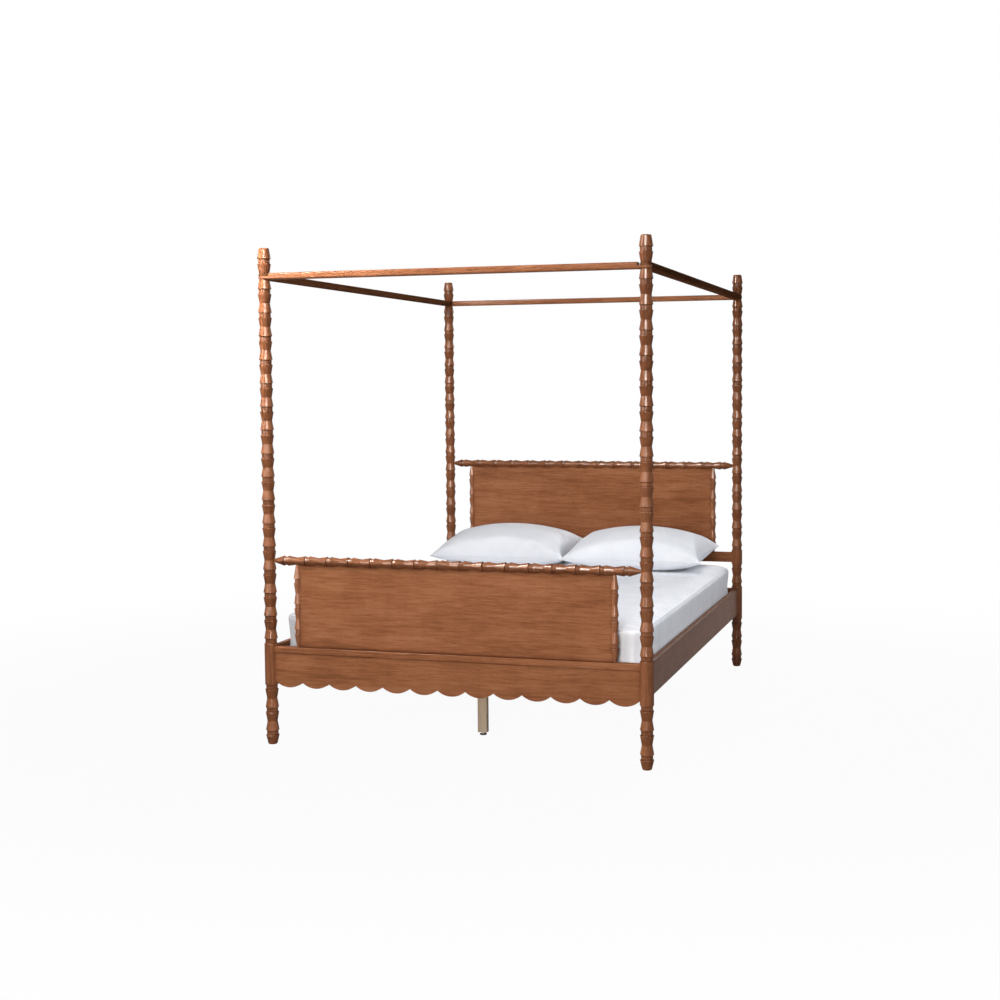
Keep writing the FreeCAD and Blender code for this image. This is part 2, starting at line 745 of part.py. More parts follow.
for corner_name, corner_side, corner_end in corners:
    make_posts(corner_name, corner_side, corner_end)
    make_finial(corner_name, corner_side, corner_end)
make_studs()
make_canopy()
bracket_bores = make_brackets()
cap_rail = board(cap_rail_box, Vector(1, 0, 0), board_edge_radius)
mid_rail = board(mid_rail_box, Vector(1, 0, 0), board_edge_radius)
pieces["foot_cap_rail"] = make_end_frame("foot", -post_y, rail_top, foot_rail_level, cap_rail)
pieces["head_mid_rail"] = make_end_frame("head", post_y, mid_rail_top, head_rail_level, mid_rail)
pieces["foot_apron"] = scalloped_apron().cut(bracket_bores)
lower_head_rail = board(lower_head_rail_box, Vector(1, 0, 0), board_edge_radius)
pieces["head_lower_rail"] = lower_head_rail.cut(bracket_bores)
for side_name, side_direction in sides:
    side_rail = board(side_rail_box(side_direction), Vector(0, 1, 0), board_edge_radius)
    pieces[f"side_rail_{side_name}"] = side_rail.cut(bracket_bores)
make_base()
make_centre_support()
make_mattress()
for side_name, side_direction in sides:
    make_pillow(side_name, side_direction)

os.makedirs("parts", exist_ok=True)
for node, shape in pieces.items():
    shape.exportStep(f"parts/{node}.step")
    valid = all(solid.isValid() for solid in shape.Solids)
    print(f"{node}: {len(shape.Solids)} solids, {shape.Volume / 1000:.1f} cm3, valid {valid}")
print(f"{len(pieces)} nodes, bobbin height {bobbin_height:.2f} mm, post pitch {post_pitch:.2f} mm")
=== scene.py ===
# %% [markdown]
# A canopy bed of turned wood, dressed for rendering. Its solids come from CAD: posts, rails,
# boards, slats and fittings, in metres and each in its own place. Blender adds what CAD leaves
# plain: the finish of the wood, and the mattress and pillows as sewn and filled cloth.

# %% Load the CAD model
import math

import bpy
import numpy as np
from mathutils import Matrix, Vector


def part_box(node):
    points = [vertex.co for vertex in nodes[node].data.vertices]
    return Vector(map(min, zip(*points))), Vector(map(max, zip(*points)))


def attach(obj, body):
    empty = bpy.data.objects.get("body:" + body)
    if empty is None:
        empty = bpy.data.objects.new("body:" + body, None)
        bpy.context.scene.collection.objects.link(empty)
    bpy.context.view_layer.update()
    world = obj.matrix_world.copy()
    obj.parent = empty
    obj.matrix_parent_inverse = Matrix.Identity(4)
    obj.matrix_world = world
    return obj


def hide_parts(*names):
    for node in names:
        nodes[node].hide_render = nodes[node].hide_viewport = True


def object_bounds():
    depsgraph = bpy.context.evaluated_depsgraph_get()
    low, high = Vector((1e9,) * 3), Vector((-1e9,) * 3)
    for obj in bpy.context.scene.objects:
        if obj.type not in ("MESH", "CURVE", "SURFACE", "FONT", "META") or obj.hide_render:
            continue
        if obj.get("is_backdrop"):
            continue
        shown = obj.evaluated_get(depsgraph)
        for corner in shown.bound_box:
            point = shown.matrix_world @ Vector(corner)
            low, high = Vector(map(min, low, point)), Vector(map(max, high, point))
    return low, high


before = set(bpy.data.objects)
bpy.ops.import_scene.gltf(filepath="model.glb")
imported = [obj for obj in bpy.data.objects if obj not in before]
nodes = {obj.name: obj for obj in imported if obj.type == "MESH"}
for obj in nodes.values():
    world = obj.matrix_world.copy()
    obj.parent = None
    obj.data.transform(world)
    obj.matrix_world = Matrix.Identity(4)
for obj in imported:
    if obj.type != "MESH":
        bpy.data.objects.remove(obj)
cad_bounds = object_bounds()
scene = bpy.context.scene
scene.view_settings.view_transform = "Standard"

# %% [markdown]
# The photograph was taken from beyond the foot of the bed, to its right and a little above the
# mattress. A camera could be placed by eye, but the bed's length, width and height are known, so
# the camera was solved from the corners of the bed instead. The solution is a place, three angles
# and a lens, and two small shifts because the picture is a crop of a larger one.

# %% Camera
picture_pixels = 1000
focal_pixels = 1451
axis_pixel_x = 555
axis_pixel_y = 479
camera_place = Vector((1.986, -6.368, 1.462))
camera_yaw = math.radians(16.35)
camera_dip = math.radians(3.71)
camera_roll = math.radians(-0.35)

lens_data = bpy.data.cameras.new("photo_camera")
lens_data.lens = lens_data.sensor_width * focal_pixels / picture_pixels
lens_data.shift_x = 0.5 - axis_pixel_x / picture_pixels
lens_data.shift_y = axis_pixel_y / picture_pixels - 0.5
camera = bpy.data.objects.new("photo_camera", lens_data)
aim = Matrix.Rotation(camera_yaw, 4, "Z") @ Matrix.Rotation(math.pi / 2 - camera_dip, 4, "X")
roll = Matrix.Rotation(camera_roll, 4, "Z")
camera.matrix_world = Matrix.Translation(camera_place) @ aim @ roll
scene.collection.objects.link(camera)
scene.camera = camera
print(f"lens {lens_data.lens:.1f} mm, shift {lens_data.shift_x:.3f}, {lens_data.shift_y:.3f}")

# %% [markdown]
# In the photograph the fronts of the posts are bright, most of all on the left and high up, and
# everything that faces right is dark. A lamp near the camera lights the fronts, one high up the
# tops, and one behind keeps the back of the bed from going black. Dark wood and white cloth want
# different amounts of light, so the near key lamp is linked to the woodwork alone, and two soft
# lamps to the bedding alone. The four boxes light nothing. They only show in the lacquer, as the
# glints on the bobbins and the thin streaks down the posts.

# %% Lamps
warm_white = (1.0, 0.97, 0.93)
cool_white = (0.95, 0.97, 1.0)
lamp_target = Vector((0.0, -0.3, 0.8))
bedding = bpy.data.collections.new("bedding")
woodwork = bpy.data.collections.new("woodwork")


def add_lamp(name, place, size, watts, colour=warm_white, only_in_gloss=False, only_on=None):
    """A rectangular lamp that faces the bed and stays out of the picture itself."""
    data = bpy.data.lights.new(name, "AREA")
    data.shape = "RECTANGLE"
    data.size, data.size_y = size
    data.energy = watts
    data.color = colour
    lamp = bpy.data.objects.new(name, data)
    lamp.location = place
    lamp.rotation_euler = (lamp_target - Vector(place)).to_track_quat("-Z", "Y").to_euler()
    lamp.visible_camera = False
    lamp.visible_diffuse = not only_in_gloss
    lamp.light_linking.receiver_collection = only_on
    scene.collection.objects.link(lamp)


add_lamp("front_lamp", (0.9, -6.6, 1.3), size=(1.2, 1.2), watts=150)
add_lamp("high_lamp", (0.2, -4.4, 5.0), size=(1.6, 1.6), watts=68)
add_lamp("key_lamp", (-1.25, -1.85, 2.65), size=(0.5, 0.5), watts=58, only_on=woodwork)
add_lamp("back_lamp", (1.2, 6.0, 3.0), size=(2.0, 2.0), watts=165)
for_bedding = {"colour": cool_white, "only_on": bedding}
add_lamp("bedding_side_lamp", (3.9, -1.7, 2.3), size=(1.6, 1.6), watts=64, **for_bedding)
add_lamp("bedding_top_lamp", (0.45, -1.45, 4.05), size=(2.0, 2.0), watts=50, **for_bedding)
add_lamp("front_box", (1.0, -4.6, 3.2), size=(2.4, 1.4), watts=1000, only_in_gloss=True)
add_lamp("left_box", (-2.7, -4.0, 1.9), size=(1.0, 1.8), watts=320, only_in_gloss=True)
add_lamp("streak_box", (0.85, -6.3, 2.9), size=(0.4, 3.4), watts=500, only_in_gloss=True)
add_lamp("upper_box", (-1.7, -2.3, 3.6), size=(0.9, 0.9), watts=560, only_in_gloss=True)

# %% [markdown]
# The picture's background is plain white. Turning the lamps up until all round is white would
# bleach the bed, so the sky is white only for rays that come straight from the camera or off a
# gloss. For all other light it is dim, and fills the shadows a little.

# %% Sky
white = (1.0, 1.0, 1.0, 1.0)
ambient_colour = (0.92, 0.95, 1.0, 1.0)
ambient_strength = 0.16


def seen_directly(tree):
    """1 for rays from the camera and for reflected and transmitted rays, 0 for other light."""
    path = tree.nodes.new("ShaderNodeLightPath")
    seen = path.outputs["Is Camera Ray"]
    for ray in ("Is Glossy Ray", "Is Transmission Ray"):
        larger = tree.nodes.new("ShaderNodeMath")
        larger.operation = "MAXIMUM"
        tree.links.new(seen, larger.inputs[0])
        tree.links.new(path.outputs[ray], larger.inputs[1])
        seen = larger.outputs[0]
    return seen


def mix_shaders(tree, factor, first, second):
    """A Mix Shader node between two shaders."""
    mix = tree.nodes.new("ShaderNodeMixShader")
    tree.links.new(factor, mix.inputs["Fac"])
    tree.links.new(first.outputs[0], mix.inputs[1])
    tree.links.new(second.outputs[0], mix.inputs[2])
    return mix


def make_sky():
    """White behind the bed, and a dim even light from all round."""
    sky = bpy.data.worlds.new("white_sky")
    sky.use_nodes = True
    tree = sky.node_tree
    tree.nodes.clear()
    ambient = tree.nodes.new("ShaderNodeBackground")
    ambient.inputs["Color"].default_value = ambient_colour
    ambient.inputs["Strength"].default_value = ambient_strength
    backdrop = tree.nodes.new("ShaderNodeBackground")
    backdrop.inputs["Color"].default_value = white
    mix = mix_shaders(tree, seen_directly(tree), ambient, backdrop)
    output = tree.nodes.new("ShaderNodeOutputWorld")
    tree.links.new(mix.outputs[0], output.inputs["Surface"])
    return sky


scene.world = make_sky()
print(f"sky of strength {ambient_strength}, white to the camera")

# %% [markdown]
# All finishes are node trees. A few short helpers keep them readable: one makes an empty
# material, one adds a node and sets or links its inputs, and the others add the nodes that are
# used most.

# %% Material helpers
def empty_material(name):
    """A material with an empty node tree."""
    material = bpy.data.materials.new(name)
    material.use_nodes = True
    material.node_tree.nodes.clear()
    return material, material.node_tree


def end_material(tree, shader):
    """Send a shader out of its tree."""
    output = tree.nodes.new("ShaderNodeOutputMaterial")
    tree.links.new(shader.outputs[0], output.inputs["Surface"])


def new_material(name):
    """A material whose Principled shader is already on the output."""
    material, tree = empty_material(name)
    shader = tree.nodes.new("ShaderNodeBsdfPrincipled")
    end_material(tree, shader)
    return material, tree, shader


def plug(tree, socket, value):
    """Link a socket to another node's output, or set its constant."""
    if isinstance(value, bpy.types.NodeSocket):
        tree.links.new(value, socket)
    else:
        socket.default_value = value


def add(tree, kind, inputs=None, **settings):
    """Add a node, set its options, and plug its inputs by name or number."""
    node = tree.nodes.new(kind)
    for option, value in settings.items():
        setattr(node, option, value)
    for key, value in (inputs or {}).items():
        plug(tree, node.inputs[key], value)
    return node


def math_node(tree, operation, *values):
    """The output of a Math node."""
    return add(tree, "ShaderNodeMath", dict(enumerate(values)), operation=operation).outputs[0]


def multiply(tree, first, second):
    """The product of two numbers."""
    return math_node(tree, "MULTIPLY", first, second)


def weigh(tree, first, first_share, second):
    """A mean of two numbers, the first with a given share."""
    rest = multiply(tree, second, 1 - first_share)
    return math_node(tree, "MULTIPLY_ADD", first, first_share, rest)


def mix_colours(tree, factor, first, second, blend="MIX"):
    """The output of a Mix Color node, whose colours are its inputs 6 and 7."""
    node = add(tree, "ShaderNodeMix", data_type="RGBA", blend_type=blend)
    plug(tree, node.inputs["Factor"], factor)
    plug(tree, node.inputs[6], first)
    plug(tree, node.inputs[7], second)
    return node.outputs[2]


def darken(tree, factor, colour, tone):
    """A colour multiplied by a tone where the factor is 1."""
    return mix_colours(tree, factor, colour, tone, "MULTIPLY")


def spread(tree, value, start, end):
    """A clamped Map Range from one (low, high) pair to another."""
    inputs = {0: value, 1: start[0], 2: start[1], 3: end[0], 4: end[1]}
    return add(tree, "ShaderNodeMapRange", inputs).outputs[0]


def noise(tree, place, scale, detail, roughness):
    """The value of a Noise Texture at a place."""
    inputs = {"Vector": place, "Scale": scale, "Detail": detail, "Roughness": roughness}
    return add(tree, "ShaderNodeTexNoise", inputs).outputs["Fac"]


def bump(tree, height, strength, depth, normal=None):
    """A normal that is tilted by a height, on top of another normal where there is one."""
    inputs = {"Height": height, "Strength": strength, "Distance": depth}
    if normal is not None:
        inputs["Normal"] = normal
    return add(tree, "ShaderNodeBump", inputs).outputs[0]


def object_place(tree):
    """Object coordinates, in metres."""
    return add(tree, "ShaderNodeTexCoord").outputs["Object"]


print("material helpers ready")

# %% [markdown]
# The floor is a wide pale plane. Like the sky it is white where the camera looks straight at it,
# through a share of plain glow. Near the bed that share is less than one, and the rest is diffuse
# white, which holds the bed's shadow. Under other light the floor is duller, so that it doesn't
# light the bed from below.

# %% Floor
floor_half_width = 40.0
floor_glow = 0.95
shadow_reach = 2.2
floor_dull = (0.5, 0.5, 0.51, 1.0)
floor_bright = (0.95, 0.95, 0.95, 1.0)


def floor_material():
    """White to the camera, with the shadow of what stands on it."""
    material, tree = empty_material("pale_floor")
    seen = seen_directly(tree)
    dull = add(tree, "ShaderNodeBsdfDiffuse", {"Color": floor_dull})
    bright = add(tree, "ShaderNodeBsdfDiffuse", {"Color": floor_bright})
    diffuse = mix_shaders(tree, seen, dull, bright)
    glow = add(tree, "ShaderNodeEmission", {"Color": white})
    inputs = {0: object_place(tree)}
    distance = add(tree, "ShaderNodeVectorMath", inputs, operation="LENGTH").outputs["Value"]
    share = spread(tree, distance, (shadow_reach, 2 * shadow_reach), (floor_glow, 1.0))
    end_material(tree, mix_shaders(tree, multiply(tree, share, seen), diffuse, glow))
    return material


def make_floor():
    """One large face at the level that the bed stands on."""
    half = floor_half_width
    corners = [(-half, -half, 0), (half, -half, 0), (half, half, 0), (-half, half, 0)]
    mesh = bpy.data.meshes.new("floor")
    mesh.from_pydata(corners, [], [(0, 1, 2, 3)])
    mesh.materials.append(floor_material())
    floor = bpy.data.objects.new("floor", mesh)
    scene.collection.objects.link(floor)
    return floor


floor = make_floor()
floor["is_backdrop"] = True
print(f"floor of {2 * floor_half_width:.0f} m, shadow within {shadow_reach} m")

# %% [markdown]
# The bed is a close-grained wood, stained a warm brown and lacquered. A picture of wood would
# stretch over the turnings, so the grain is a solid texture: noise that is drawn out along one
# axis and cut by each piece as a real board is. Shade is painted into the stain: the grooves,
# found by ambient occlusion, are darkened as painted shade; sharp edges, found where a rounded
# normal leaves the true one, are lightened, partly as wear and partly as a painted highlight;
# and on the turnings the cones that face down are darkened as painted shade.

# %% Grain, stain and painted shade
grain_stretch = 0.07
edge_radius = 0.003
ramp_places = (0.34, 0.5, 0.66)


def grain_place(tree, axis):
    """Object coordinates drawn out along the grain."""
    scale = [1.0, 1.0, 1.0]
    scale["XYZ".index(axis)] = grain_stretch
    inputs = {"Vector": object_place(tree), "Scale": scale}
    return add(tree, "ShaderNodeMapping", inputs).outputs[0]


def tone_ramp(tree, value, tones):
    """A colour ramp from a dark through a middle to a light tone."""
    ramp = add(tree, "ShaderNodeValToRGB", {"Fac": value})
    ramp.color_ramp.elements.new(0.5)
    for stop, tone, place in zip(ramp.color_ramp.elements, tones, ramp_places):
        stop.position = place
        stop.color = (*tone, 1.0)
    return ramp.outputs["Color"]


def true_normal(tree):
    """The surface's own normal, without bump."""
    return add(tree, "ShaderNodeNewGeometry").outputs["Normal"]


# The edge mask lightens sharp edges, partly as wear and partly as a painted highlight.
def edge_wear_and_glint(tree, rounded):
    """1 on sharp edges, 0 on faces: how far a rounded normal leaves the true one."""
    inputs = {0: rounded, 1: true_normal(tree)}
    alike = add(tree, "ShaderNodeVectorMath", inputs, operation="DOT_PRODUCT").outputs["Value"]
    return spread(tree, alike, (0.99, 0.86), (0.0, 1.0))


def painted_underside_shade(tree):
    """Painted shade: near 1 where the surface faces down, 0 where it faces up."""
    upward = add(tree, "ShaderNodeSeparateXYZ", {0: true_normal(tree)}).outputs["Z"]
    return spread(tree, upward, (-0.2, 0.2), (0.9, 0.0))


def painted_groove_shade(tree, reach, own):
    """Painted shade: 1 deep in a groove, 0 on open faces. Joints with other pieces count unless own is set.
    """
    settings = {"samples": 8, "only_local": own}
    shade = add(tree, "ShaderNodeAmbientOcclusion", {"Distance": reach}, **settings)
    return spread(tree, shade.outputs["AO"], (0.58, 0.93), (1.0, 0.0))


print(f"edges worn to {edge_radius * 1000:.0f} mm")

# %% [markdown]
# One function makes the wood in every cut. Broad bands, fibres and short dark pores are three
# scales of the same drawn-out noise, and soft clouds lie across them. The lacquer is a thin coat
# over a dull body, because a white room would lay a grey veil over a body with gloss of its own.
# On the boards across the bed the painted shade also darkens the joints with other pieces.
# The rails along the bed face away from the light in the photograph, so their cuts are the
# same wood made darker, as painted shade. The spindles' cut is made lighter, as painted light.

# %% Stained wood
wood_tones = ((0.185, 0.068, 0.029), (0.268, 0.104, 0.047), (0.335, 0.142, 0.070))
cloud_tone = (0.90, 0.875, 0.86, 1.0)
pore_tone = (0.62, 0.56, 0.52, 1.0)
# Painted shade in grooves and between pieces.
groove_shade_tone = (0.22, 0.15, 0.12, 1.0)
# Painted shade for the cones that face down.
underside_shade_tone = (0.70, 0.64, 0.58, 1.0)
# Lightening on sharp edges: partly wear, partly a painted highlight.
edge_wear_and_glint_tone = (1.45, 1.45, 1.45, 1.0)
cloud_scale = 9.0
band_scale = 16.0
fibre_scale = 150.0
pore_scale = 560.0
band_share = 0.45
pore_strength = 0.7
post_shade_reach = 0.018
spindle_shade_reach = 0.007
lacquer_roughness = 0.15


def stained_wood(name, axis, lacquer, lightness,
                 shaded_below=False, gloss=0.0, groove=post_shade_reach, own=True):
    """Stained and lacquered wood with its grain along one axis."""
    material, tree, shader = new_material(name)
    place = grain_place(tree, axis)
    clouds = noise(tree, object_place(tree), cloud_scale, detail=2.0, roughness=0.5)
    bands = noise(tree, place, band_scale, detail=3.0, roughness=0.5)
    fibres = noise(tree, place, fibre_scale, detail=4.0, roughness=0.6)
    specks = noise(tree, place, pore_scale, detail=2.0, roughness=0.5)
    pores = spread(tree, specks, (0.58, 0.70), (0.0, 1.0))
    rounded = add(tree, "ShaderNodeBevel", {"Radius": edge_radius}, samples=4).outputs[0]
    tones = [tuple(part * lightness for part in tone) for tone in wood_tones]
    colour = tone_ramp(tree, weigh(tree, bands, band_share, fibres), tones)
    colour = darken(tree, spread(tree, clouds, (0.42, 0.62), (0.0, 1.0)), colour, cloud_tone)
    colour = darken(tree, multiply(tree, pores, pore_strength), colour, pore_tone)
    # Painted shade on the cones that face down.
    if shaded_below:
        colour = darken(tree, painted_underside_shade(tree), colour, underside_shade_tone)
    # Lightened edges: partly wear, partly a painted highlight.
    colour = darken(tree, edge_wear_and_glint(tree, rounded), colour, edge_wear_and_glint_tone)
    # Painted shade in grooves and, where own is off, between pieces.
    colour = darken(tree, painted_groove_shade(tree, groove, own), colour, groove_shade_tone)
    plug(tree, shader.inputs["Base Color"], colour)
    plug(tree, shader.inputs["Roughness"], spread(tree, fibres, (0.3, 0.7), (0.46, 0.58)))
    height = math_node(tree, "MULTIPLY_ADD", pores, -0.6, fibres)
    plug(tree, shader.inputs["Normal"], bump(tree, height, 0.22, 0.0006, rounded))
    shader.inputs["Specular IOR Level"].default_value = gloss
    shader.inputs["Coat Weight"].default_value = lacquer
    shader.inputs["Coat Roughness"].default_value = lacquer_roughness
    plug(tree, shader.inputs["Coat Normal"], rounded)
    return material


turned_upright = stained_wood("turned_upright_wood", "Z", 0.14, 1.14, shaded_below=True)
# A lighter copy of the turned wood for the spindles, as painted light.
lit_spindle_upright = stained_wood(
    "spindle_lit_wood", "Z", 0.3, 1.36, shaded_below=True, groove=spindle_shade_reach)
turned_across = stained_wood("turned_across_wood", "X", 0.18, 1.06, shaded_below=True)
board_across = stained_wood("board_across_wood", "X", 0.06, 1.15, own=False)
# Darker copies for the rails along the bed, as painted shade.
shaded_board_along = stained_wood("side_rail_shaded_wood", "Y", 0.06, 0.88, gloss=0.03)
shaded_canopy_along = stained_wood("canopy_rail_shaded_wood", "Y", 0.0, 0.6)
print("stained wood in six cuts")

# %% [markdown]
# Inside the bed nothing is stained. The slats, ledgers, beam and middle legs are pale sanded
# softwood, the fittings are zinc-plated steel, and the glides under the legs are black plastic.

# %% Inner finishes
raw_tones = ((0.50, 0.36, 0.235), (0.62, 0.475, 0.335), (0.71, 0.565, 0.42))
zinc_tones = ((0.46, 0.47, 0.49), (0.56, 0.57, 0.58), (0.66, 0.66, 0.66))
plastic_tones = ((0.010, 0.010, 0.011), (0.016, 0.016, 0.017), (0.024, 0.024, 0.025))
raw_band_share = 0.7
zinc_blotch_scale = 140.0
plastic_grain_scale = 900.0


def raw_wood(name, axis):
    """Sanded softwood with wide pale rings and no lacquer."""
    material, tree, shader = new_material(name)
    place = grain_place(tree, axis)
    bands = noise(tree, place, 2 * band_scale, detail=2.0, roughness=0.4)
    fibres = noise(tree, place, 2 * fibre_scale, detail=3.0, roughness=0.6)
    figure = weigh(tree, bands, raw_band_share, fibres)
    plug(tree, shader.inputs["Base Color"], tone_ramp(tree, figure, raw_tones))
    plug(tree, shader.inputs["Roughness"], spread(tree, fibres, (0.3, 0.7), (0.62, 0.75)))
    plug(tree, shader.inputs["Normal"], bump(tree, fibres, 0.3, 0.0004))
    shader.inputs["Specular IOR Level"].default_value = 0.3
    return material


def zinc_steel():
    """Plated steel with faint blotches in its gloss."""
    material, tree, shader = new_material("zinc_steel")
    blotches = noise(tree, object_place(tree), zinc_blotch_scale, detail=4.0, roughness=0.6)
    plug(tree, shader.inputs["Base Color"], tone_ramp(tree, blotches, zinc_tones))
    plug(tree, shader.inputs["Roughness"], spread(tree, blotches, (0.3, 0.7), (0.28, 0.45)))
    shader.inputs["Metallic"].default_value = 1.0
    return material


def black_plastic():
    """Moulded plastic with a fine matte grain."""
    material, tree, shader = new_material("black_plastic")
    grain = noise(tree, object_place(tree), plastic_grain_scale, detail=2.0, roughness=0.5)
    plug(tree, shader.inputs["Base Color"], tone_ramp(tree, grain, plastic_tones))
    plug(tree, shader.inputs["Roughness"], spread(tree, grain, (0.3, 0.7), (0.5, 0.62)))
    plug(tree, shader.inputs["Normal"], bump(tree, grain, 0.25, 0.0002))
    return material


raw_across = raw_wood("raw_across_wood", "X")
raw_along = raw_wood("raw_along_wood", "Y")
raw_upright = raw_wood("raw_upright_wood", "Z")
steel = zinc_steel()
plastic = black_plastic()
print("raw wood, steel and plastic")

# %% [markdown]
# Each CAD node takes the finish of its own cut of wood. The names of the nodes say what they
# are, so a short table of name beginnings is enough. Where two beginnings fit, the longer one
# holds.

# %% Finish the CAD nodes
finishes = {
    "lower_post": turned_upright, "upper_post": turned_upright, "finial": turned_upright,
    "foot_spindle": lit_spindle_upright, "head_spindle": lit_spindle_upright,
    "foot_top_rail": turned_across, "head_top_rail": turned_across,
    "foot_": board_across, "head_": board_across,
    "canopy_rail_foot": board_across, "canopy_rail_head": board_across,
    "canopy_rail_left": shaded_canopy_along, "canopy_rail_right": shaded_canopy_along,
    "side_rail": shaded_board_along,
    "slat_screws": steel, "slat": raw_across, "ledger": raw_along, "centre_beam": raw_along,
    "middle_leg": raw_upright, "glide_pad": plastic, "glide_stem": steel,
    "threaded_studs": steel, "corner_brackets": steel, "bracket_bolts": steel,
    "post_bolts": steel, "beam_hangers": steel,
}
unfinished = []
for node_name, node in nodes.items():
    matches = [start for start in finishes if node_name.startswith(start)]
    if not matches:
        unfinished.append(node_name)
        continue
    woodwork.objects.link(node)
    node.data.materials.clear()
    node.data.materials.append(finishes[max(matches, key=len)])
print(f"finished {len(nodes) - len(unfinished)} nodes, left for cloth: {unfinished}")

# %% [markdown]
# The bedding is white cotton. Its weave and knit are finer than the picture can show, but they
# break up the light, so they are there as bump, drawn along the flat cut of the cloth. Each piece
# of cloth carries that flat cut as its UV map, in metres. The mattress has a ribbed knit, and its
# colour is darkened between the ribs as painted shade. Each of its points carries how high it
# lies on a rib.

# %% Cotton cloth
cotton_white = ((0.79, 0.81, 0.855), (0.84, 0.86, 0.905), (0.87, 0.885, 0.925))
# Painted shade between the mattress's ribs.
rib_valley_shade_tone = (0.89, 0.89, 0.90, 1.0)
wave_periods_per_unit = 20 / (2 * math.pi)
blotch_scale = 9.0
weave_share = 0.3
stripe_depth = 0.0006


def thread_wave(tree, place, direction, pitch):
    """Threads in one direction, as the value of a Wave Texture with a given pitch."""
    scale = 1 / (pitch * wave_periods_per_unit)
    inputs = {"Vector": place, "Scale": scale, "Distortion": 0.6, "Detail": 1.0}
    settings = {"wave_type": "BANDS", "bands_direction": direction}
    return add(tree, "ShaderNodeTexWave", inputs, **settings).outputs["Fac"]


def cotton(name, across_pitch, along_pitch, thread_depth, stripe_pitch=None, ribbed=False):
    """White cotton with crossed threads, soft blotches of tone, and stripes or ribs."""
    material, tree, shader = new_material(name)
    cut = add(tree, "ShaderNodeUVMap", uv_map="cut").outputs[0]
    warp = thread_wave(tree, cut, "X", across_pitch)
    weft = thread_wave(tree, cut, "Y", along_pitch)
    weave = multiply(tree, math_node(tree, "ADD", warp, weft), 0.5)
    blotches = noise(tree, object_place(tree), blotch_scale, detail=3.0, roughness=0.5)
    colour = tone_ramp(tree, weigh(tree, weave, weave_share, blotches), cotton_white)
    normal = bump(tree, weave, 0.35, thread_depth)
    # Painted shade in the valleys between the ribs.
    if ribbed:
        crest = add(tree, "ShaderNodeAttribute", attribute_name="rib_crest").outputs["Fac"]
        colour = darken(tree, spread(tree, crest, (-1.0, 1.0), (1.0, 0.0)), colour, rib_valley_shade_tone)
    if stripe_pitch:
        stripes = thread_wave(tree, cut, "X", stripe_pitch)
        normal = bump(tree, stripes, 0.6, stripe_depth, normal)
    plug(tree, shader.inputs["Base Color"], colour)
    plug(tree, shader.inputs["Roughness"], spread(tree, blotches, (0.3, 0.7), (0.82, 0.92)))
    plug(tree, shader.inputs["Normal"], normal)
    shader.inputs["Specular IOR Level"].default_value = 0.25
    shader.inputs["Sheen Weight"].default_value = 0.12
    shader.inputs["Sheen Roughness"].default_value = 0.5
    return material


pillow_cotton = cotton("pillow_cotton", 0.0011, 0.0011, 0.00015, stripe_pitch=0.012)
mattress_knit = cotton("mattress_knit", 0.0032, 0.0018, 0.0003, ribbed=True)
print("two cottons")

# %% [markdown]
# Cloth pieces are built as grids of points in code. These helpers turn points and faces into an
# object, give it its flat cut, and replace its mesh by what its modifiers make of it.

# %% Mesh helpers
def new_piece(name, points, faces=(), edges=(), material=None):
    """A mesh object at the origin, with its place in its points."""
    mesh = bpy.data.meshes.new(name)
    points = [tuple(point) for point in points]
    edges = [tuple(edge) for edge in edges]
    mesh.from_pydata(points, edges, list(faces))
    mesh.update()
    if material:
        mesh.materials.append(material)
    piece = bpy.data.objects.new(name, mesh)
    scene.collection.objects.link(piece)
    return piece


def ring_piece(name, ring_points):
    """An object that is only a closed ring of edges."""
    count = len(ring_points)
    edges = [(number, (number + 1) % count) for number in range(count)]
    return new_piece(name, ring_points, edges=edges)


def piece_points(piece):
    """The places of a piece's points."""
    return np.array([vertex.co for vertex in piece.data.vertices])


def add_cut_map(piece, corner_cuts):
    """The flat cut of the cloth, one (x, y) in metres for each face corner in order."""
    layer = piece.data.uv_layers.new(name="cut")
    layer.data.foreach_set("uv", np.asarray(corner_cuts, dtype=np.float32).ravel())


def keep_result(piece):
    """Replace a piece's mesh by its evaluated mesh and drop its modifiers."""
    settled = piece.evaluated_get(bpy.context.evaluated_depsgraph_get())
    mesh = bpy.data.meshes.new_from_object(settled)
    piece.modifiers.clear()
    old = piece.data
    piece.data = mesh
    bpy.data.meshes.remove(old)


print("mesh helpers ready")

# %% [markdown]
# Ribs, pipings and stitches all follow a surface or a path, so Geometry Nodes make them. A tree
# starts with named inputs for its sizes, and ends by realizing what it made and giving it a
# material. Running it on a piece leaves a plain mesh.

# %% Tree helpers
def new_tree(name, sizes):
    """A Geometry Nodes tree with named sizes and a material, and its input node."""
    tree = bpy.data.node_groups.new(name, "GeometryNodeTree")
    tree.interface.new_socket("Geometry", in_out="INPUT", socket_type="NodeSocketGeometry")
    tree.interface.new_socket("Geometry", in_out="OUTPUT", socket_type="NodeSocketGeometry")
    for size in sizes:
        tree.interface.new_socket(size, in_out="INPUT", socket_type="NodeSocketFloat")
    tree.interface.new_socket("Material", in_out="INPUT", socket_type="NodeSocketMaterial")
    return tree, tree.nodes.new("NodeGroupInput")


def end_tree(tree, given, geometry):
    """Smooth, realize and colour the geometry, and send it out of the tree."""
    smooth = add(tree, "GeometryNodeSetShadeSmooth", {"Geometry": geometry})
    real = add(tree, "GeometryNodeRealizeInstances", {"Geometry": smooth.outputs[0]})
    inputs = {"Geometry": real.outputs[0], "Material": given.outputs["Material"]}
    coloured = add(tree, "GeometryNodeSetMaterial", inputs)
    add(tree, "NodeGroupOutput", {"Geometry": coloured.outputs[0]})


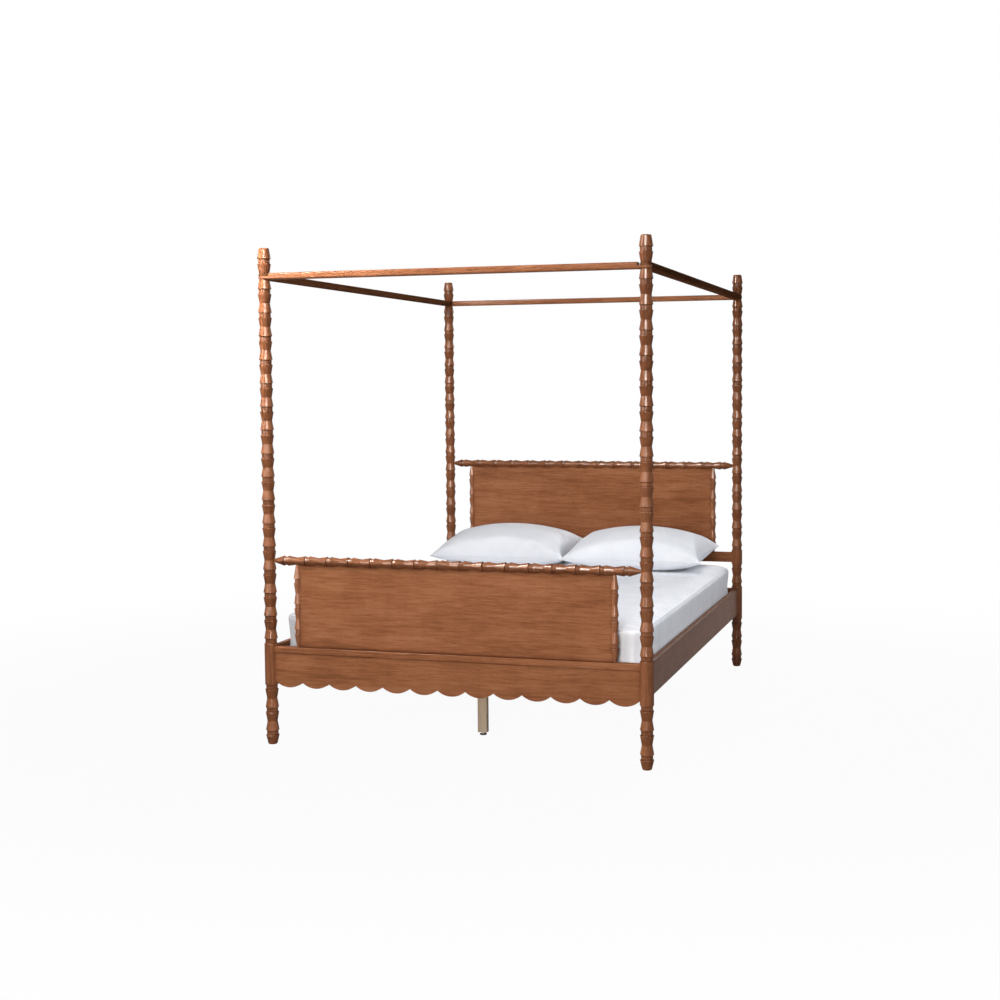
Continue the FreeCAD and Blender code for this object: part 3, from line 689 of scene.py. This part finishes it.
def run_tree(piece, tree, values):
    """Run a tree on a piece and keep what it makes as the piece's own mesh."""
    modifier = piece.modifiers.new(tree.name, "NODES")
    modifier.node_group = tree
    for item in tree.interface.items_tree:
        if item.in_out == "INPUT" and item.name in values:
            modifier[item.identifier] = values[item.name]
    keep_result(piece)


def carried_number(tree, name):
    """The value of a number that each point carries."""
    node = add(tree, "GeometryNodeInputNamedAttribute", {"Name": name}, data_type="FLOAT")
    return node.outputs[0]


print("tree helpers ready")

# %% [markdown]
# The knit of the mattress stands up in soft ribs. A texture could only shade them, so they are
# pressed into the surface: each point carries its distance across the ribs, rises along its
# normal by a cosine of it, and keeps the result for the material. A little noise makes the ribs
# waver.

# %% Rib tree
def make_rib_tree():
    """Ribs by rib_run, the distance across them, and rib_fade, their share of full height."""
    tree, given = new_tree("knit_ribs", ("Rib pitch", "Rib height", "Waver", "Waver scale"))
    size = given.outputs
    place = add(tree, "GeometryNodeInputPosition").outputs[0]
    waver = noise(tree, place, size["Waver scale"], detail=1.0, roughness=0.5)
    waver = multiply(tree, math_node(tree, "SUBTRACT", waver, 0.5), size["Waver"])
    turns = math_node(tree, "DIVIDE", carried_number(tree, "rib_run"), size["Rib pitch"])
    phase = multiply(tree, math_node(tree, "ADD", turns, waver), 2 * math.pi)
    wave = math_node(tree, "COSINE", phase)
    crest = multiply(tree, wave, carried_number(tree, "rib_fade"))
    inputs = {"Geometry": size["Geometry"], "Name": "rib_crest", "Value": crest}
    settings = {"data_type": "FLOAT", "domain": "POINT"}
    marked = add(tree, "GeometryNodeStoreNamedAttribute", inputs, **settings).outputs[0]
    normal = add(tree, "GeometryNodeInputNormal").outputs[0]
    inputs = {0: normal, "Scale": multiply(tree, crest, size["Rib height"])}
    lift = add(tree, "ShaderNodeVectorMath", inputs, operation="SCALE").outputs[0]
    inputs = {"Geometry": marked, "Offset": lift}
    end_tree(tree, given, add(tree, "GeometryNodeSetPosition", inputs).outputs[0])
    return tree


rib_tree = make_rib_tree()
print("tree:", rib_tree.name)

# %% [markdown]
# Seams are finished in two ways. A piping is a round cord of cloth, a circle swept along the
# seam. Stitches are short threads, one copy after another along it. Both start from a ring of
# edges.

# %% Piping and stitch trees
def make_piping_tree():
    """A round cord of cloth along a ring of edges."""
    tree, given = new_tree("piping", ("Piping radius",))
    inputs = {"Mesh": given.outputs["Geometry"]}
    ring = add(tree, "GeometryNodeMeshToCurve", inputs).outputs[0]
    inputs = {"Resolution": 8, "Radius": given.outputs["Piping radius"]}
    section = add(tree, "GeometryNodeCurvePrimitiveCircle", inputs).outputs[0]
    inputs = {"Curve": ring, "Profile Curve": section}
    end_tree(tree, given, add(tree, "GeometryNodeCurveToMesh", inputs).outputs[0])
    return tree


def make_stitch_tree():
    """Short threads, one after another along a ring of edges."""
    tree, given = new_tree("stitches", ("Stitch spacing", "Stitch length", "Thread radius"))
    size = given.outputs
    ring = add(tree, "GeometryNodeMeshToCurve", {"Mesh": size["Geometry"]}).outputs[0]
    inputs = {"Curve": ring, "Length": size["Stitch spacing"]}
    spots = add(tree, "GeometryNodeCurveToPoints", inputs, mode="LENGTH").outputs
    inputs = {"Vertices": 6, "Radius": size["Thread radius"], "Depth": size["Stitch length"]}
    thread = add(tree, "GeometryNodeMeshCylinder", inputs).outputs["Mesh"]
    inputs = {"Points": spots["Points"], "Instance": thread, "Rotation": spots["Rotation"]}
    end_tree(tree, given, add(tree, "GeometryNodeInstanceOnPoints", inputs).outputs[0])
    return tree


piping_tree = make_piping_tree()
stitch_tree = make_stitch_tree()
print("trees:", piping_tree.name, stitch_tree.name)

# %% [markdown]
# The mattress is a firm block in a ribbed knit cover: a top panel, a border all round and a plain
# underside, sewn together with pipings. It could be a subdivided cube, but its ribs run across the
# top and straight down the sides, so it is built as two grids that share the sewn edge. The top
# grid is a rectangle whose corners are bent into quarter circles, and it rolls down to the seam.

# %% Mattress top panel
mattress_low, mattress_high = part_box("mattress")
mattress_middle = (mattress_low + mattress_high) / 2
mattress_half = (mattress_high - mattress_low) / 2
mattress_height = mattress_high.z - mattress_low.z
grid_step = 0.0068
corner_radius = 0.09
seam_inset = 0.006
upper_seam = 0.90
shoulder_width = 0.10
crown_rise = 0.004


def round_corners(across, along, half_x, half_y, radius):
    """Bend the corners of a rectangular grid of points into quarter circles."""
    reach_x = np.clip((np.abs(across) - (half_x - radius)) / radius, 0, 1)
    reach_y = np.clip((np.abs(along) - (half_y - radius)) / radius, 0, 1)
    pull_x = reach_x * (1 - np.sqrt(1 - reach_y ** 2 / 2)) * radius
    pull_y = reach_y * (1 - np.sqrt(1 - reach_x ** 2 / 2)) * radius
    return across - np.sign(across) * pull_x, along - np.sign(along) * pull_y


def edge_distance(across, along, half_x, half_y, radius):
    """How far inside a rounded rectangle each point lies."""
    past_x = np.abs(across) - (half_x - radius)
    past_y = np.abs(along) - (half_y - radius)
    outside = np.hypot(np.maximum(past_x, 0), np.maximum(past_y, 0))
    return radius - outside - np.minimum(np.maximum(past_x, past_y), 0)


def top_panel():
    """Points of the top panel as a grid, and how far each lies inside the sewn edge."""
    half_x = mattress_half.x - seam_inset
    half_y = mattress_half.y - seam_inset
    columns = np.linspace(-half_x, half_x, 2 * round(half_x / grid_step) + 1)
    rows = np.linspace(-half_y, half_y, 2 * round(half_y / grid_step) + 1)
    across, along = np.meshgrid(columns, rows)
    across, along = round_corners(across, along, half_x, half_y, corner_radius)
    inside = edge_distance(across, along, half_x, half_y, corner_radius)
    seam_level = mattress_low.z + mattress_height * upper_seam
    shoulder = np.clip(inside / shoulder_width, 0, 1)
    rise = mattress_high.z - crown_rise - seam_level
    level = seam_level + rise * (1 - (1 - shoulder) ** 2)
    crown = crown_rise * (1 - (across / half_x) ** 2) * (1 - (along / half_y) ** 2)
    x, y = across + mattress_middle.x, along + mattress_middle.y
    return np.stack([x, y, level + crown], axis=-1), inside


panel_points, panel_inside = top_panel()
print(f"top panel of {panel_points.shape[1]} by {panel_points.shape[0]} points")

# %% [markdown]
# The border hangs from the panel's edge ring. Each of its rows is that ring, moved out and down,
# with outward directions taken from the ring itself. A short table gives the profile: the border
# swells below the upper seam and above the lower one, and tucks in underneath.

# %% Mattress border
border_levels = (upper_seam, 0.875, 0.82, 0.65, 0.48, 0.32, 0.17, 0.11, 0.085, 0.03, 0.0)
border_swells = (0.0, 0.006, 0.007, 0.003, 0.0, 0.003, 0.007, 0.006, 0.0, -0.004, -0.022)
lower_seam = border_levels[-3]
border_rows = 26


def edge_ring(row_count, column_count):
    """Numbers of a grid's edge points, in order round it."""
    ring = [(0, column) for column in range(column_count - 1)]
    ring += [(row, column_count - 1) for row in range(row_count - 1)]
    ring += [(row_count - 1, column) for column in range(column_count - 1, 0, -1)]
    ring += [(row, 0) for row in range(row_count - 1, 0, -1)]
    return np.array([row * column_count + column for row, column in ring])


def outward(points):
    """Unit directions that point out of a ring seen from above, anticlockwise."""
    along = np.roll(points, -1, axis=0) - np.roll(points, 1, axis=0)
    out = np.stack([along[:, 1], -along[:, 0], np.zeros(len(along))], axis=-1)
    return out / np.linalg.norm(out, axis=1, keepdims=True)


def border_row(level, swell):
    """The edge ring, moved out by a swell to a level, given as a share of the height."""
    row = ring_points + outward(ring_points) * swell
    row[:, 2] = mattress_low.z + mattress_height * level
    return row


flat_panel = panel_points.reshape(-1, 3)
ring = edge_ring(*panel_points.shape[:2])
ring_points = flat_panel[ring]
levels = np.linspace(border_levels[0], border_levels[-1], border_rows)
swells = np.interp(-levels, [-level for level in border_levels], border_swells)
border = [border_row(level, swell) for level, swell in zip(levels[1:], swells[1:])]
cover_points = np.concatenate([flat_panel, *border])
print(f"border of {len(border)} rows of {len(ring)} points")

# %% [markdown]
# The faces of the cover are the panel's grid, the bands between the border's rows, and one face
# for the underside. With each face goes its place in the flat cut: the panel as it lies, the
# border unrolled along the seam.

# %% Mattress faces and cut
def grid_faces(numbers):
    """Four-sided faces of a grid of point numbers, facing up."""
    corners = [numbers[:-1, :-1], numbers[:-1, 1:], numbers[1:, 1:], numbers[1:, :-1]]
    return np.stack(corners, axis=-1).reshape(-1, 4)


def band_faces(upper, lower):
    """Faces between two rings of point numbers, facing out."""
    corners = [upper, lower, np.roll(lower, -1), np.roll(upper, -1)]
    return np.stack(corners, axis=-1)


def band_cut(high, deep):
    """Where those faces lie in the border's flat cut."""
    starts, stops = seam_run, seam_run + seam_steps
    across = np.stack([starts, starts, stops, stops], axis=-1)
    down = np.broadcast_to([high, deep, deep, high], across.shape)
    return np.stack([across, down], axis=-1).reshape(-1, 2)


seam_steps = np.linalg.norm(np.roll(ring_points, -1, axis=0) - ring_points, axis=1)
seam_run = np.concatenate([[0], np.cumsum(seam_steps)[:-1]])
border_numbers = len(flat_panel) + np.arange(len(border) * len(ring))
rings = [ring, *border_numbers.reshape(len(border), len(ring))]
depths = levels * mattress_height
panel_faces = grid_faces(np.arange(len(flat_panel)).reshape(panel_points.shape[:2]))
underside = rings[-1][::-1]
cover_faces = panel_faces.tolist()
cover_cut = [flat_panel[panel_faces.ravel(), :2]]
for upper, lower, high, deep in zip(rings, rings[1:], depths, depths[1:]):
    cover_faces += band_faces(upper, lower).tolist()
    cover_cut.append(band_cut(high, deep))
cover_faces.append(underside.tolist())
cover_cut.append(cover_points[underside, :2])
print(f"mattress of {len(cover_faces)} faces")

# %% [markdown]
# Now the ribs. On the top they run across the bed, so a point's distance is its own Y. On the
# border they run down, so it is the length along the seam, stretched a little to make a whole
# number of ribs go round. They fade out towards the seams, where the sewing holds the knit flat.

# %% Mattress cover
rib_pitch = 0.05
rib_height = 0.0018
rib_waver = 0.5
rib_waver_scale = 7.0
panel_fade = 0.01
border_fade = 0.08


def border_rib_share(level):
    """The height of the ribs on a row of the border, as a share of their full height."""
    if level <= lower_seam:
        return 0.0
    near_seam = min(abs(level - upper_seam), abs(level - lower_seam))
    return min(1.0, near_seam / border_fade)


def add_number(piece, name, values):
    """Give each point of a piece a number to carry."""
    numbers = piece.data.attributes.new(name, "FLOAT", "POINT")
    numbers.data.foreach_set("value", np.concatenate(values).astype(np.float32))


seam_length = seam_steps.sum()
border_run = seam_run * rib_pitch * round(seam_length / rib_pitch) / seam_length
panel_share = np.clip(panel_inside.ravel() / panel_fade, 0, 1)
border_shares = [np.full(len(ring), border_rib_share(level)) for level in levels[1:]]
mattress_cover = new_piece("mattress_cover", cover_points, cover_faces)
add_cut_map(mattress_cover, np.concatenate(cover_cut))
add_number(mattress_cover, "rib_run", [flat_panel[:, 1]] + [border_run] * len(border))
add_number(mattress_cover, "rib_fade", [panel_share, *border_shares])
run_tree(mattress_cover, rib_tree, {
    "Rib pitch": rib_pitch, "Rib height": rib_height,
    "Waver": rib_waver, "Waver scale": rib_waver_scale, "Material": mattress_knit,
})
print(f"{round(seam_length / rib_pitch)} ribs round the border")

# %% [markdown]
# Each sewn edge of the mattress is covered by a thin piping. The ring of points along the seam is
# already there, so the piping tree only has to follow every third point of it.

# %% Mattress pipings
mattress_piping_radius = 0.0018
piping_step = 3

lower_ring = rings[np.argmin(np.abs(levels - lower_seam))]
mattress_pipings = []
for seam_name, seam_ring in (("top", ring), ("bottom", lower_ring)):
    seam_points = cover_points[seam_ring][::piping_step]
    cord = ring_piece(f"mattress_piping_{seam_name}", seam_points)
    sizes = {"Piping radius": mattress_piping_radius, "Material": pillow_cotton}
    run_tree(cord, piping_tree, sizes)
    mattress_pipings.append(cord)
print(f"{len(mattress_pipings)} pipings on the mattress")

# %% [markdown]
# A pillow is two flat pieces of cotton sewn together and filled. Here it starts as an envelope
# that is part filled already: two grids that share the points of their sewn edge, bulged apart,
# with sides that are drawn in a little between the corners.

# %% Pillow envelope
pillow_cells_x = 70
pillow_cells_y = 52
envelope_height = 0.085
envelope_fullness = 0.42
envelope_draw = 0.024
inner = (slice(1, -1), slice(1, -1))


def envelope_points(half_x, half_y):
    """Upper and lower grid of points of a part-filled pillow about the origin."""
    columns = np.linspace(-1, 1, pillow_cells_x + 1)
    rows = np.linspace(-1, 1, pillow_cells_y + 1)
    across, along = np.meshgrid(columns, rows)
    bulge = envelope_height * ((1 - across ** 2) * (1 - along ** 2)) ** envelope_fullness
    x = across * (half_x - envelope_draw * (1 - along ** 2))
    y = along * (half_y - envelope_draw * (1 - across ** 2))
    return np.stack([x, y, bulge], axis=-1), np.stack([x, y, -bulge], axis=-1)


def make_envelope(name, half_x, half_y):
    """The envelope, the numbers of its seam's points, and those of the row inside the seam."""
    upper, lower = envelope_points(half_x, half_y)
    shape = upper.shape[:2]
    count = shape[0] * shape[1]
    top = np.arange(count).reshape(shape)
    bottom = top.copy()
    bottom[inner] = count + np.arange(top[inner].size).reshape(top[inner].shape)
    points = np.concatenate([upper.reshape(-1, 3), lower[inner].reshape(-1, 3)])
    facing_down = grid_faces(bottom)[:, [0, 3, 2, 1]]
    faces = np.concatenate([grid_faces(top), facing_down])
    piece = new_piece(name, points, faces.tolist(), material=pillow_cotton)
    add_cut_map(piece, points[faces.ravel(), :2])
    hem = top[inner].ravel()[edge_ring(*top[inner].shape)]
    return piece, edge_ring(*shape), hem


print(f"envelope of {pillow_cells_x} by {pillow_cells_y} cells")

# %% [markdown]
# Modelling the filling by hand gives a smooth lump. A simulation gives the taut seams, the pointed
# corners and the folds by itself: Blender's cloth is blown up by a little pressure with gravity
# off. A soft limit then holds each point near its start, so that the pillow keeps its size.

# %% Fill a pillow
fill_pressure = 0.7
fill_frames = 22
fill_stiffness = 40.0
fill_limit = 0.03


def fill(piece):
    """Blow up an envelope, and return how far its points would have moved."""
    start = piece_points(piece)
    cloth = piece.modifiers.new("filling", "CLOTH")
    cloth.settings.quality = 6
    cloth.settings.mass = 0.2
    cloth.settings.tension_stiffness = fill_stiffness
    cloth.settings.compression_stiffness = fill_stiffness
    cloth.settings.shear_stiffness = fill_stiffness / 3
    cloth.settings.bending_stiffness = 0.1
    cloth.settings.shrink_min = 0.02
    cloth.settings.use_pressure = True
    cloth.settings.uniform_pressure_force = fill_pressure
    cloth.settings.effector_weights.gravity = 0.0
    cloth.collision_settings.use_collision = False
    cloth.point_cache.frame_end = fill_frames
    for number in range(1, fill_frames + 1):
        scene.frame_set(number)
    keep_result(piece)
    scene.frame_set(1)
    moved = piece_points(piece) - start
    distance = np.linalg.norm(moved, axis=1, keepdims=True)
    distance = np.maximum(distance, fill_limit / 1000)
    held = start + moved / distance * fill_limit * np.tanh(distance / fill_limit)
    piece.data.vertices.foreach_set("co", held.ravel())
    return float(distance.max())


print(f"{fill_frames} frames of filling, held within {fill_limit * 1000:.0f} mm")

# %% [markdown]
# A filled pillow still floats. It is fitted to the space that the CAD pillow holds, with its seam
# a third of the way up: the upper half swells to the crown, the lower half is pressed flat on the
# mattress, and the seam behind is a little higher than in front. The ends get the short puckers
# that sewing leaves, uneven in pitch and depth.

# %% Lay a pillow
seam_share = 0.35
press_share = 1.3
press_blend = 0.006
seam_tilt = 0.06
corner_reach = 0.014
corner_sharpness = 10
pucker_pitch = 0.030
pucker_height = 0.008
pucker_reach = 0.15
pucker_start = 0.012


def puckers(x, y, shares, from_end):
    """Heights of the short folds across both ends of a pillow's upper side."""
    waver = np.sin(y * 23.0) + np.sin(y * 41.0 + x * 9.0)
    depth = 0.55 + 0.45 * np.sin(y * 31.0 + x * 5.0)
    wave = np.cos(2 * math.pi * y / pucker_pitch + waver) * (shares[:, 2] > 0.05)
    begun = np.clip(from_end / pucker_start, 0, 1)
    left = np.clip(1 - from_end / pucker_reach, 0, 1)
    return pucker_height * wave * depth * begun * left * (1 - shares[:, 1] ** 2)


def press(level, floor_level):
    """Heights that stay above a floor, with a soft bend where they meet it."""
    clear = level - floor_level
    return floor_level + (clear + np.sqrt(clear ** 2 + press_blend ** 2)) / 2


def lay(piece, low, high):
    """Fit a filled pillow into a box, flat below, with puckers at both ends."""
    points = piece_points(piece)
    highest, lowest = points.max(axis=0), points.min(axis=0)
    shares = (points - (highest + lowest) / 2) / ((highest - lowest) / 2)
    half = np.array(high - low) / 2
    middle = np.array(low + high) / 2
    corner = np.abs(shares[:, 0] * shares[:, 1]) ** corner_sharpness
    x = middle[0] + shares[:, 0] * half[0] + corner_reach * corner * np.sign(shares[:, 0])
    y = middle[1] + shares[:, 1] * half[1]
    height = high.z - low.z
    seam_level = low.z + height * seam_share
    above, below = height * (1 - seam_share), height * seam_share * press_share
    level = seam_level + shares[:, 2] * np.where(shares[:, 2] > 0, above, below)
    from_end = (1 - np.abs(shares[:, 0])) * half[0]
    level = press(level + puckers(x, y, shares, from_end), low.z)
    lifted = np.clip((level - low.z) / (seam_level - low.z), 0, 1)
    level = level + seam_tilt * (y - middle[1]) * lifted
    piece.data.vertices.foreach_set("co", np.stack([x, y, level], axis=-1).ravel())
    piece.data.update()


print(f"seam at {seam_share:.0%} of the height, puckers {pucker_pitch * 1000:.0f} mm apart")

# %% [markdown]
# Each pillow goes through the same steps: sew the envelope, fill it, round it by one subdivision,
# and lay it down. The subdivision keeps the numbers of the old points, so the piping and the row
# of stitches can still find the seam.

# %% Pillows
envelope_spare = 1.012
pillow_piping_radius = 0.0021
stitch_sizes = {"Stitch spacing": 0.0045, "Stitch length": 0.003, "Thread radius": 0.0004}


def round_off(piece):
    """One level of subdivision, kept as the piece's own mesh."""
    rounding = piece.modifiers.new("rounding", "SUBSURF")
    rounding.levels = 1
    rounding.render_levels = 1
    keep_result(piece)


def make_pillow(side):
    """One pillow with its piping and its row of stitches."""
    low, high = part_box(f"pillow_{side}")
    half = (high - low) / 2 * envelope_spare
    piece, seam, hem = make_envelope(f"pillow_cover_{side}", half.x, half.y)
    moved = fill(piece)
    round_off(piece)
    lay(piece, low, high)
    piece.data.polygons.foreach_set("use_smooth", [True] * len(piece.data.polygons))
    points = piece_points(piece)
    piping = ring_piece(f"pillow_piping_{side}", points[seam])
    sizes = {"Piping radius": pillow_piping_radius, "Material": pillow_cotton}
    run_tree(piping, piping_tree, sizes)
    stitches = ring_piece(f"pillow_stitches_{side}", points[hem])
    run_tree(stitches, stitch_tree, {**stitch_sizes, "Material": pillow_cotton})
    print(f"{piece.name}: moved up to {moved * 1000:.0f} mm, {len(piece.data.polygons)} faces")
    return piece, [piping, stitches]


pillows = {side: make_pillow(side) for side in ("left", "right")}

# %% [markdown]
# Each new piece is tied to the CAD body that it belongs to, so that it moves with that body, and
# each cover takes the place of the plain solid that stood for it. The cloth also joins the
# collection that the bedding's own lamps are linked to.

# %% Tie the cloth to the bodies
for cloth_piece in (mattress_cover, *mattress_pipings):
    bedding.objects.link(cloth_piece)
for cover, trims in pillows.values():
    for cloth_piece in (cover, *trims):
        bedding.objects.link(cloth_piece)
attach(mattress_cover, "mattress")
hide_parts("mattress")
for cord in mattress_pipings:
    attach(cord, "mattress")
for side, (cover, trims) in pillows.items():
    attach(cover, f"pillow_{side}")
    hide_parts(f"pillow_{side}")
    for trim in trims:
        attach(trim, f"pillow_{side}")

# %% [markdown]
# Last, the box round everything is measured again and kept beside the box of the CAD model. Cloth
# may stand a little proud of its solid, but the bed as a whole must stay the same size.

# %% Sizes
visual_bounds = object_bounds()
sizes = {"cad": [list(corner) for corner in cad_bounds], "visual": [list(corner) for corner in visual_bounds]}
print("bounds", sizes)
